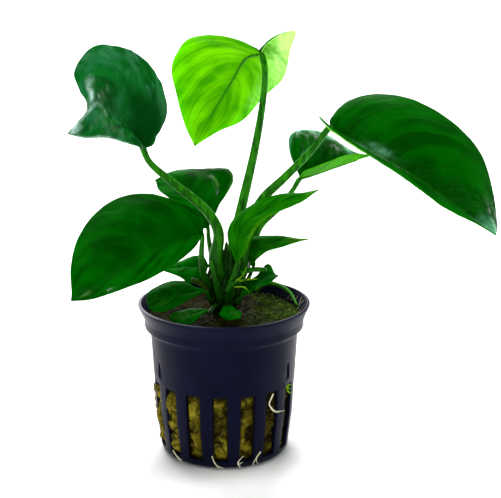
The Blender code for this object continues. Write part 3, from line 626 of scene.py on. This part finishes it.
def juicy_stalk(name, dark, light, foot):
    """A smooth, juicy petiole with fine lengthwise streaks; painted shade darkens its foot."""
    look, tree, shader = new_material(name, Roughness=0.36, Specular_IOR_Level=0.08, Subsurface_Weight=0.4,
                                      Subsurface_Radius=(0.6, 1.0, 0.1), Subsurface_Scale=0.0012)
    place = add(tree, "place")
    drawn_out = add(tree, "ShaderNodeMapping", {"Vector": place, "Scale": (1.0, 1.0, 0.18)})
    streak = add(tree, "noise", drawn_out, 900.0, 3.0)
    colour = add(tree, "mix", add(tree, "range", streak, 0.36, 0.64), srgb(dark), srgb(light))
    # Painted shade: low down, near the crown under the leaves, the colour turns to the darker foot colour.
    above = add(tree, "range", add(tree, "z", place), 0.05, 0.078)
    feed(tree, shader, {
        "Base Color": add(tree, "mix", above, srgb(foot), colour),
        "Normal": add(tree, "bump", streak, 0.2, 0.0001)})
    return look


def rhizome_bark():
    """The creeping rhizome: green-brown skin, ringed by the scars of old leaves."""
    look, tree, shader = new_material("rhizome_skin", Roughness=0.55, Specular_IOR_Level=0.08,
                                      Subsurface_Weight=0.15, Subsurface_Scale=0.0006)
    rings = add(tree, "rings", add(tree, "place"), 190.0, 3.0, 3.0)
    feed(tree, shader, {
        "Base Color": add(tree, "mix", rings, srgb("#142a06"), srgb("#2c4a10")),
        "Normal": add(tree, "bump", rings, 0.5, 0.0004)})
    return look


def studio_floor():
    """A sheet of matt white board."""
    look, tree, shader = new_material("matt_white_board", Roughness=0.9)
    grain = add(tree, "noise", add(tree, "place"), 300.0)
    feed(tree, shader, {"Base Color": add(tree, "mix", grain, srgb("#f4f4f4"), srgb("#fafafa"))})
    return look


# ---- Geometry Nodes ----


def new_tree(name, sockets):
    """A Geometry Nodes tree with a geometry input and output and the named inputs."""
    tree = bpy.data.node_groups.new(name, "GeometryNodeTree")
    for label, kind in (("Geometry", "Geometry"), *sockets):
        tree.interface.new_socket(label, in_out="INPUT", socket_type=f"NodeSocket{kind}")
    tree.interface.new_socket("Geometry", in_out="OUTPUT", socket_type="NodeSocketGeometry")
    return tree, tree.nodes.new("NodeGroupInput").outputs


def grown(obj, tree, **values):
    """The plain mesh that a tree makes on an object, with its named inputs set first."""
    grow = obj.modifiers.new(tree.name, "NODES")
    grow.node_group = tree
    for item in tree.interface.items_tree:
        if item.in_out == "INPUT" and item.name in values:
            grow[item.identifier] = values[item.name]
    return baked(obj)


def finish_tree(tree, placed, look, weld=0.0):
    """Realizes the instances, welds what meets, gives the material and makes it the tree's result."""
    real = add(tree, "GeometryNodeRealizeInstances", {0: placed})
    if weld:
        real = add(tree, "GeometryNodeMergeByDistance", {"Geometry": real, "Distance": weld})
    looked = add(tree, "GeometryNodeSetMaterial", {"Geometry": real, "Material": look})
    feed(tree, tree.nodes.new("NodeGroupOutput"), {0: looked})
    return tree


def ring_tree():
    """Repeats a sector of the pot round its axis and welds the sectors into one wall."""
    tree, given = new_tree("pot_sectors", (("Count", "Int"), ("Look", "Material")))
    points = add(tree, "GeometryNodePoints", {"Count": given["Count"]})
    turn = add(tree, "multiply", add(tree, "GeometryNodeInputIndex"), math.tau)
    share = add(tree, "math", turn, given["Count"], operation="DIVIDE")
    spin = add(tree, "ShaderNodeCombineXYZ", {"Z": share})
    rotation = add(tree, "FunctionNodeEulerToRotation", {0: spin})
    placed = add(tree, "GeometryNodeInstanceOnPoints", {
        "Points": points, "Instance": given["Geometry"], "Rotation": rotation})
    return finish_tree(tree, placed, given["Look"], 0.000005)


def strand_tree():
    """Scatters short bent strands over the faces that the weight "loose" marks, lying on the surface."""
    tree, given = new_tree("loose_strands", (
        ("Density", "Float"), ("Length", "Float"), ("Thickness", "Float"), ("Lift", "Float"),
        ("Seed", "Int"), ("Look", "Material")))
    weight = add(tree, "GeometryNodeInputNamedAttribute", {"Name": "loose"}, data_type="FLOAT")
    points = add(tree, "GeometryNodeDistributePointsOnFaces", {
        "Mesh": given["Geometry"], "Density": add(tree, "multiply", weight, given["Density"]),
        "Seed": given["Seed"]}).node.outputs
    reach = add(tree, "ShaderNodeCombineXYZ", {"X": given["Length"]})
    half = add(tree, "multiply", given["Length"], 0.5)
    rise = add(tree, "multiply", given["Length"], given["Lift"])
    top = add(tree, "ShaderNodeCombineXYZ", {"X": half, "Y": rise, "Z": rise})
    path = add(tree, "GeometryNodeCurveQuadraticBezier", {
        "Resolution": 4, "Start": (0.0, 0.0, 0.0), "Middle": top, "End": reach})
    ring = add(tree, "GeometryNodeCurvePrimitiveCircle", {"Resolution": 3, "Radius": given["Thickness"]})
    strand = add(tree, "GeometryNodeCurveToMesh", {"Curve": path, "Profile Curve": ring, "Fill Caps": True})
    random_turn = add(tree, "FunctionNodeRandomValue", {
        0: (-0.5, -0.5, 0.0), 1: (0.5, 0.5, math.tau), "Seed": given["Seed"]}, data_type="FLOAT_VECTOR")
    local = add(tree, "FunctionNodeEulerToRotation", {0: random_turn})
    turned = add(tree, "FunctionNodeRotateRotation", {"Rotation": points["Rotation"], "Rotate By": local},
                 rotation_space="LOCAL")
    size = add(tree, "FunctionNodeRandomValue", {2: 0.4, 3: 1.3, "Seed": given["Seed"]}, data_type="FLOAT")
    placed = add(tree, "GeometryNodeInstanceOnPoints", {
        "Points": points["Points"], "Instance": strand, "Rotation": turned, "Scale": size.node.outputs[1]})
    return finish_tree(tree, placed, given["Look"])


# ---- The pot ----


def pot_profile():
    """The pot's outside from the middle of its base to its lip, as rows of radius and height."""
    rows = [(radius, 0.0) for radius in (0.0, 4.0, DRAIN_REACH[0], 11.7, DRAIN_REACH[1], 17.4)]
    turns = np.radians(np.linspace(90, 0, 6))
    rows += [(FOOT_RADIUS + FOOT_ROUND * math.cos(a), FOOT_ROUND * (1 - math.sin(a))) for a in turns]
    side = ((FOOT_RADIUS + FOOT_ROUND, FOOT_ROUND), LOWER, MIDDLE, NECK)
    heights = [SLOT_SPAN[0], 5.0, 8.0, 11.0, 14.0, 18.0, 22.0, SLOT_SPAN[1],
               26.4, 29.0, 32.0, 35.0, 38.0, 40.6]
    radii = np.interp(heights, [point[1] for point in side], [point[0] for point in side])
    rows += list(zip(radii, heights))
    rows += [(24.1, 41.4), (24.4, 41.7), (25.6, 42.4), (25.9, 42.7), (26.0, 43.1), (26.0, 44.9), (26.1, 45.3)]
    return rows + [(26.3, 45.9), (27.0, 47.6), (27.6, 49.0), (LIP_RADIUS, POT_HEIGHT)]


def sector_columns(radius):
    """The angles of a sector's columns, in radians from its middle, where the drain slot lies."""
    pitch = math.pi / SLOTS
    if radius < FOOT_RADIUS:
        edge = math.asin(DRAIN_WIDTH / 2 / max(radius, DRAIN_REACH[0]))
        right = [edge + (2 * pitch - edge) * k / 6 for k in range(7)]
    else:
        slot = math.asin(SLOT_WIDTH / 2 / radius)
        beside = (slot + pitch) / 2
        right = [(pitch - beside) / 2, pitch - beside, pitch - slot, pitch, pitch + slot, pitch + beside,
                 2 * pitch]
    return [-angle for angle in reversed(right)] + [0.0] + right


def make_pot(look):
    """One sector of the wall and base, repeated by Geometry Nodes, then given its thickness."""
    rows = pot_profile()
    middle = SLOT_TURN + math.pi / SLOTS
    points = np.array([
        [(radius * math.cos(middle + a), radius * math.sin(middle + a), height)
         for a in sector_columns(radius)] for radius, height in rows])
    sector = grid_object("pot_moulded", points)
    heights = [row[1] for row in rows]
    low, high = heights.index(SLOT_SPAN[0]), heights.index(SLOT_SPAN[1])
    radii = [row[0] for row in rows]
    inner, outer = radii.index(DRAIN_REACH[0]), radii.index(DRAIN_REACH[1])
    columns = points.shape[1] - 1
    holes = {row * columns + column for row in range(low, high) for column in (2, 3, 10, 11)}
    holes |= {row * columns + column for row in range(inner, outer) for column in (6, 7)}
    shape = bmesh.new()
    shape.from_mesh(sector.data)
    shape.faces.ensure_lookup_table()
    bmesh.ops.delete(shape, geom=[shape.faces[index] for index in holes], context="FACES")
    bmesh.ops.remove_doubles(shape, verts=shape.verts, dist=0.000001)
    shape.to_mesh(sector.data)
    shape.free()
    pot = grown(sector, ring_tree(), Count=SLOTS // 2, Look=look)
    wall = pot.modifiers.new("wall", "SOLIDIFY")
    wall.thickness = WALL * MM
    wall.offset = -1
    wall.use_even_offset = True
    cutter = make_notches()
    cut = pot.modifiers.new("notches", "BOOLEAN")
    cut.operation = "DIFFERENCE"
    cut.object = cutter
    pot = baked(pot)
    bpy.data.objects.remove(cutter)
    edge = pot.modifiers.new("edges", "BEVEL")
    edge.width = MOULDED_EDGE * MM
    edge.segments = 2
    edge.limit_method = "ANGLE"
    edge.angle_limit = math.radians(50)
    finish_piece(baked(pot), look, "pot_plastic", "pot")


def make_notches():
    """The cutters for the three tapered dents that keep stacked pots apart."""
    shape = bmesh.new()
    low, high = NOTCH_SPAN
    for degrees in NOTCH_TURNS:
        turn = math.radians(degrees - 90)
        reach = float(np.interp((low + high) / 2, (MIDDLE[1], NECK[1]), (MIDDLE[0], NECK[0]))) - NOTCH_DEPTH
        for vert in bmesh.ops.create_cube(shape, size=1)["verts"]:
            wide = NOTCH_WIDTHS[1] if vert.co.z > 0 else NOTCH_WIDTHS[0]
            x, y = reach + 1 + vert.co.x * 2, vert.co.y * wide
            z = (low + high) / 2 + vert.co.z * (high - low)
            vert.co = (x * math.cos(turn) - y * math.sin(turn), x * math.sin(turn) + y * math.cos(turn), z)
            vert.co *= MM
    mesh = bpy.data.meshes.new("notches")
    shape.to_mesh(mesh)
    shape.free()
    return link_object("notches", mesh)


# ---- The rock wool ----


def inner_radius(height):
    """The radius of the pot's inside at a height."""
    heights = (0.0, FOOT_ROUND, LOWER[1], MIDDLE[1], NECK[1], COLLAR[0], COLLAR[1], POT_HEIGHT)
    radii = (FOOT_RADIUS + 0.6, FOOT_RADIUS + FOOT_ROUND, LOWER[0], MIDDLE[0], NECK[0], COLLAR_RADIUS,
             COLLAR_RADIUS, LIP_RADIUS)
    return np.interp(height, heights, radii) - WALL


def make_wool(look):
    """The plug: crumbly wool that swells out through the slots, with a rough, matted top."""
    around = 400
    turns = np.linspace(0, math.tau, around + 1)
    side = np.linspace(FLOOR + GAP, WOOL_TOP - 0.9, 92)
    top = np.linspace(1, 0, 66)
    rows = [(share * 18.0, FLOOR + GAP) for share in (0, 0.5, 0.9)]
    rows += [(inner_radius(height) - GAP, height) for height in side]
    rows += [((inner_radius(WOOL_TOP) - GAP - 0.5) * share, WOOL_TOP) for share in top]
    radius = np.array([row[0] for row in rows])[:, None] * np.ones(around + 1)
    height = np.array([row[1] for row in rows])[:, None] * np.ones(around + 1)
    on_top = np.zeros(radius.shape)
    on_top[-len(top):] = 1
    turn = np.ones(len(rows))[:, None] * turns
    plain = np.stack([radius * np.cos(turn), radius * np.sin(turn), height], axis=-1)
    plain[:, -1] = plain[:, 0]
    lumps = bump_field(plain, 4.4, 5)
    crumbs = bump_field(plain, 1.6, 9)
    grit = bump_field(plain, 0.5, 14)
    cracks = step(np.abs(bump_field(plain, 3.0, 31)), 0.0, 0.2)
    gloom = step(bump_field(plain, 9.0, 52), -0.35, 0.15)
    pitch = math.tau / SLOTS
    offset = (turn - SLOT_TURN + pitch / 2) % pitch - pitch / 2
    sideways = np.abs(radius * np.sin(offset))
    window = (1 - step(sideways, 1.7, 2.4)) * step(height, 3.2, 5.2) * (1 - step(height, 22.8, 25.2))
    window *= 1 - on_top
    left = step(-np.cos(turn), 0.2, 0.9)
    right = step(np.cos(turn), 0.2, 0.9)
    swell = np.clip(0.3 + 1.1 * left - 0.4 * right + 1.5 * lumps + 0.5 * crumbs, -0.7, 1.9)
    out = window * (swell + 0.12 * grit - 0.5 * (1 - cracks))
    radius = radius + out
    middle = np.hypot(radius * np.cos(turn) - 9, radius * np.sin(turn) - 12)
    mound = 1.3 * np.exp(-((middle / 8) ** 2)) - 0.5 * np.exp(-((radius - 15) / 4) ** 2)
    rough = 1.1 * bump_field(plain, 4.0, 3) + 0.6 * crumbs + 0.2 * grit
    height = height + on_top * (mound + rough)
    # Painted light and shade for the colour: the wool in the slots is darker where it lies deep, in its
    # cracks, in patches and towards the right, and the top is darker in its hollows.
    lit_side = window * step(out - 0.8 * left - 0.3 * right, -0.8, 0.4) * (0.2 + 0.8 * cracks)
    lit_side = lit_side * (1 - 0.75 * (1 - gloom) * (1 - left)) * (1 - 0.5 * right)
    painted_light_level = np.where(on_top > 0, 0.35 + 0.65 * step(rough, -0.7, 0.3), lit_side)
    points = np.stack([radius * np.cos(turn), radius * np.sin(turn), height], axis=-1)
    points[:, -1] = points[:, 0]
    wool = grid_object("rock_wool_plug", points)
    wool.data.attributes.new("painted_light_level", "FLOAT", "POINT").data.foreach_set("value", painted_light_level.reshape(-1))
    close_seams(wool.data)
    finish_piece(wool, look, "rock_wool", "rock_wool")
    return wool


def make_strands(wool, looks):
    """Loose fibres that stand off the wool in the slots and lie matted on its top."""
    low_top, high_top = WOOL_TOP - 1.2, WOOL_TOP + 3.0
    spans = (("slot", 3.0, 25.0), ("top", low_top, high_top), ("moss", low_top, high_top))
    pitch = math.tau / SLOTS
    for (label, low, high), (density, length, thick, lift, strand_look) in zip(spans, looks):
        source = link_object(f"wool_fibres_{label}", wool.data.copy())
        weights = source.data.attributes.new("loose", "FLOAT", "POINT")
        places = np.zeros(len(source.data.vertices) * 3)
        source.data.vertices.foreach_get("co", places)
        places = places.reshape(-1, 3) / MM
        reach = np.hypot(places[:, 0], places[:, 1])
        turn = np.arctan2(places[:, 1], places[:, 0])
        offset = (turn - SLOT_TURN + pitch / 2) % pitch - pitch / 2
        marked = (places[:, 2] > low) & (places[:, 2] < high)
        if label == "slot":
            marked &= np.abs(reach * np.sin(offset)) < 1.3
        if label == "moss":
            marked &= (places[:, 0] > 7) & (reach > 12) & (reach < 23) & (bump_field(places, 4.0, 61) > -0.02)
        weights.data.foreach_set("value", marked.astype(float))
        fibres = grown(source, strand_tree(), Density=density, Length=length * MM, Thickness=thick * MM,
                       Lift=lift, Seed=7, Look=strand_look)
        finish_piece(fibres, strand_look, "rock_wool")


# ---- The plant ----


def blade_relief(leaf, points, u, v):
    """How far the skin stands off the plain blade: quilting between veins, blisters and wavy edges."""
    phase = (u - VEIN_SWEEP * np.abs(v) ** VEIN_POWER) * leaf.get("veins", 9)
    quilt = (0.5 - 0.5 * np.cos(math.tau * phase)) * step(np.abs(v), 0.02, 0.2) * (1 - np.abs(v) ** 4)
    groove = -np.exp(-((v / 0.035) ** 2)) * (1 - u)
    wavy = np.abs(v) ** 2 * np.sin(math.tau * EDGE_WAVES * u + 2 * v)
    relief = leaf["quilt"] * quilt + 0.2 * groove + leaf.get("wave", 0.4) * wavy
    blister = leaf.get("blister", 0.12)
    return relief + blister * (bump_field(points, 3.4, 2) + 0.5 * bump_field(points, 1.6, 8)) * (1 - u**6)


def spots(u, v, marks):
    """The sum of soft marks, each with its place along and across, its sizes and its strength."""
    total = np.zeros(u.shape)
    for along, across, long, wide, strength in marks:
        total += strength * np.exp(-(((u - along) / long) ** 2) - ((v - across) / wide) ** 2)
    return total


def make_leaf(name, leaf, looks):
    rows, columns = leaf.get("fine", (80, 60))
    points = blade_points(leaf, rows + 1, columns + 1)
    u, v = np.meshgrid(np.linspace(0, 1, rows + 1), np.linspace(-1, 1, columns + 1), indexing="ij")
    normal = unit(np.cross(np.gradient(points, axis=1), np.gradient(points, axis=0)) + 1e-9)
    points = points + normal * blade_relief(leaf, points, u, v)[..., None]
    blade = grid_object(f"blade_{name}", points, np.stack([u, v / 2 + 0.5], axis=-1))
    # The "pale" weight is painted light: painted highlights where positive, painted shade where negative.
    for label in ("shine", "pale"):
        weights = blade.data.attributes.new(label, "FLOAT", "POINT")
        weights.data.foreach_set("value", spots(u, v, leaf.get(label, ())).reshape(-1))
    group = blade.vertex_groups.new(name="body")
    thin = 1 - 0.75 * np.abs(v).reshape(-1) ** 3
    for index, weight in enumerate(thin):
        group.add((index,), float(weight), "REPLACE")
    thick = blade.modifiers.new("thickness", "SOLIDIFY")
    thick.thickness = BLADE_THICKNESS * MM
    thick.offset = 0
    thick.vertex_group = "body"
    thick.thickness_vertex_group = 0.2
    thick.material_offset = 1
    thick.material_offset_rim = 1
    upper, under, slot = looks[leaf.get("look", "leaf")]
    blade.data.materials.append(upper)
    blade.data.materials.append(under)
    finish_piece(baked(blade), None, slot, f"leaf_{name}")


def make_stalk(name, leaf, look):
    """A petiole that swells into a sheath at the rhizome and runs on under the blade as its rib."""
    degrees, height, radius, route = STALKS[name]
    count = 24
    midrib, _, _, up = blade_frame(leaf, count)
    along = unit(np.gradient(midrib, axis=0))
    u = np.linspace(0, 1, count)[:, None]
    under = midrib - up * (0.42 - 0.1 * u)
    last = int(count * 0.9)
    start = rhizome_edge(degrees, height - 1.5, -0.8)
    out = rhizome_edge(degrees, height + 2.5, GAP + radius * 1.1)
    joint = midrib[0] - up[0] * 0.75 - along[0] * 0.5
    stem = smooth([start, out, *route, joint, under[2]], 60)
    rib = under[3:last]
    lengths = np.linspace(0, 1, len(stem))
    stem_radii = np.interp(lengths, (0, 0.12, 0.3, 0.9, 0.97, 1), (
        radius * 1.6, radius * 1.5, radius * 1.1, radius * STALK_TAPER, radius * 0.68, 0.55))
    rib_radii = np.linspace(0.5, 0.14, len(rib))
    stalk = tube(f"petiole_{name}", np.vstack([stem, rib]), np.concatenate([stem_radii, rib_radii]))
    finish_piece(stalk, look, "stalk", f"stalk_{name}")


def rhizome_edge(degrees, height, clear):
    """A point beside the rhizome, with the given clearance from its skin."""
    heights = [ring[0] for ring in RHIZOME]
    x, y, radius = (np.interp(height, heights, [ring[k] for ring in RHIZOME]) for k in (1, 2, 3))
    turn = math.radians(degrees)
    return np.array([x + (radius + clear) * math.cos(turn), y + (radius + clear) * math.sin(turn), height])


def make_rhizome(look):
    heights = [ring[0] for ring in RHIZOME]
    places = np.linspace(heights[0], heights[-1], 60)
    x, y, radii = (np.interp(places, heights, [ring[k] for ring in RHIZOME]) for k in (1, 2, 3))
    points = np.stack([x, y, places], axis=-1)
    radii = radii * (1 + 0.05 * np.sin(places * 3.1))
    finish_piece(tube("rhizome_stem", points, radii, 10), look, "rhizome", "rhizome")


def make_shoots(looks, plain):
    for name, (points, start, end) in SHOOTS.items():
        look, slot = looks.get(name, plain)
        radii = (start * 0.9, start, (start + end) / 2, end, end * 0.7)
        shoot = tube(f"{name}_grown", smooth(points, 30), radii)
        finish_piece(shoot, look, slot, name)


def make_crown(look):
    """The sheaths of old and coming leaves, swollen at the middle and packed round the rhizome."""
    sheaths = []
    for index, (degrees, foot, tip, lean, radius) in enumerate(CROWN_SHEATHS):
        route = [
            rhizome_edge(degrees, foot, -1.0), rhizome_edge(degrees, foot * 0.6 + tip * 0.4, radius * 0.5),
            rhizome_edge(degrees + 8, tip - 1, lean * 0.7), rhizome_edge(degrees + 12, tip, lean)]
        radii = (radius, radius, radius * 0.9, radius * 0.6, 0.2)
        sheaths.append(tube(f"sheath_{index}", smooth(route, 20), radii, 5))
    finish_piece(joined("crown_sheaths", sheaths), look, "stalk")


def make_roots(look, hair_look):
    """Cream water roots that have found their way out of the pot, thinning to their tips."""
    for name, points in ROOTS.items():
        path = smooth(points, 34)
        wander = np.array([[bumps(p, 1.3, k) for k in (0, 20, 40)] for p in path]) * 0.16
        radii = (ROOT_RADIUS * 0.5, ROOT_RADIUS * 0.42, ROOT_RADIUS * 0.15)
        main = tube(f"{name}_main", path + wander, radii, 4)
        fork = [path[14], path[17] + (0.3, -0.3, -0.5), path[22] + (1.1, -0.5, -0.4)]
        side = tube(f"{name}_fork", smooth(fork, 12), (ROOT_RADIUS * 0.35, ROOT_RADIUS * 0.25, 0.04), 4)
        finish_piece(joined(f"{name}_grown", [main, side]), look, "root", name)
    hairs = [tube(f"hair_{index}", smooth(points, 16), (0.1, 0.08, 0.04), 2)
             for index, points in enumerate(ROOT_HAIRS)]
    finish_piece(joined("root_hairs", hairs), hair_look, "root")


# ---- The set ----


def make_camera():
    data = bpy.data.cameras.new("camera")
    data.sensor_width = 36
    data.lens = CAMERA_LENS
    camera = link_object("camera", data)
    camera.location = Vector(CAMERA_PLACE) * MM
    camera.rotation_euler = (math.radians(CAMERA_PITCH), 0, 0)
    bpy.context.scene.camera = camera


def make_light(name, place, size, power, tint="#ffffff"):
    data = bpy.data.lights.new(name, "AREA")
    data.shape = "DISK"
    data.size = size
    data.energy = power
    data.color = srgb(tint)[:3]
    light = link_object(name, data)
    light.location = place
    light.rotation_euler = (Vector((0, 0, 0.08)) - Vector(place)).to_track_quat("-Z", "Y").to_euler()


def make_studio():
    shape = bmesh.new()
    bmesh.ops.create_circle(shape, cap_ends=True, segments=64, radius=6)
    mesh = bpy.data.meshes.new("floor")
    shape.to_mesh(mesh)
    shape.free()
    floor = link_object("floor", mesh)
    mesh.materials.append(studio_floor())
    make_world()
    make_light("back_softbox", (-0.3, 1.4, 1.1), 1.7, 62.0)
    make_light("top_softbox", (-0.1, -0.15, 1.5), 0.6, 15.0)
    make_light("right_softbox", (1.3, 0.5, 0.4), 0.7, 4.0)
    make_light("upper_right_softbox", (0.75, 0.55, 1.15), 0.4, 2.5)
    make_light("front_fill", (-0.7, -1.1, 0.5), 0.7, 3.0)


def make_world():
    """White all round at eye level and dim overhead, as in a light tent open at the top."""
    world = bpy.data.worlds.new("light_tent")
    world.use_nodes = True
    tree = world.node_tree
    glow = add(tree, "ease", add(tree, "z", add(tree, "way")), 0.12, 0.5, 1.0, 0.12)
    feed(tree, tree.nodes["Background"], {"Strength": glow, "Color": srgb("#ffffff")})
    bpy.context.scene.world = world
    bpy.context.scene.view_settings.view_transform = "Standard"


def main():
    make_camera()
    make_studio()
    make_pot(polypropylene())
    wool = make_wool(wet_rock_wool())
    make_strands(wool, (
        (2.2e6, 1.1, 0.028, 0.2, fibre_strand("mineral_fibre", "#5c5210", "#a89a3c")),
        (2.6e6, 1.7, 0.045, 0.3, fibre_strand("algae_fibre", "#161000", "#3c3c06")),
        (2.8e6, 2.0, 0.045, 0.6, fibre_strand("moss_strand", "#1c3c00", "#6c9410"))))
    make_rhizome(rhizome_bark())
    # The last colour of each blade is that of its painted highlights and reflections. The shaded and lit
    # blades are copies of one blade, darker as painted shade and brighter as painted light.
    back = living_blade("anubias_underside", ("#1c7400", "#389600", "#66b41c", "#96e02c"), 9, 0.3,
                        vein_show=0.35)
    shaded_back = living_blade("shaded_underside", ("#0a5004", "#146406", "#2c7e14", "#5cae20"), 9, 0.2,
                             vein_show=0.3)
    upper = living_blade("dark_anubias_blade", ("#003e00", "#005800", "#107000", "#74c898"))
    shaded = living_blade("shaded_anubias_blade", ("#003e00", "#005e00", "#0a6a08", "#6aa848"), vein_show=0.1)
    wet = living_blade("wet_blistered_blade", ("#003c0c", "#0a6420", "#1c7a2c", "#c4ece0"), film=0.6)
    sunlit = living_blade("sunlit_anubias_blade", ("#003e00", "#005e00", "#107000", "#1a7a08"), 8)
    lit = living_blade("back_lit_underside", ("#3a9800", "#78d000", "#2a7e00", "#d0ff96"), 8, 0.6,
                       vein_show=0.3, contrast=0.75)
    young = living_blade("young_anubias_blade", ("#085400", "#187400", "#2c8c10", "#74b828"), 7, 0.2)
    looks = {
        "leaf": (upper, back, "leaf"),
        "shaded": (shaded, shaded_back, "leaf"),
        "wet": (wet, back, "leaf"),
        "lit": (sunlit, lit, "leaf_back_lit"),
        "young": (young, back, "young_leaf"),
    }
    petiole = juicy_stalk("juicy_petiole", "#0c5200", "#2a8800", "#0a3c00")
    # The crown sheaths are darker than the petioles as painted shade under the leaves.
    sheath = juicy_stalk("shaded_crown_sheath", "#062c00", "#145600", "#082c00")
    withered = juicy_stalk("withered_petiole", "#24400a", "#486a18", "#2a480a")
    runner = juicy_stalk("runner_stem", "#246404", "#4a9410", "#30780a")
    for name, leaf in LEAVES.items():
        make_leaf(name, leaf, looks)
        make_stalk(name, leaf, petiole)
    make_shoots({"stub_left": (withered, "old_stalk"), "side_shoot": (runner, "stalk")}, (petiole, "stalk"))
    make_crown(sheath)
    make_roots(fibre_strand("water_root", "#c9c48e", "#f4f2dc"),
               fibre_strand("root_hair", "#77765a", "#b4b294"))
    sprouts = [tube(f"sprout_{index}", smooth(points, 12), (0.2, 0.26, 0.08), 4)
               for index, points in enumerate(SPROUTS)]
    finish_piece(joined("small_sprouts", sprouts), fibre_strand("sprout_skin", "#3c7406", "#86b41c"), "stalk")


main()
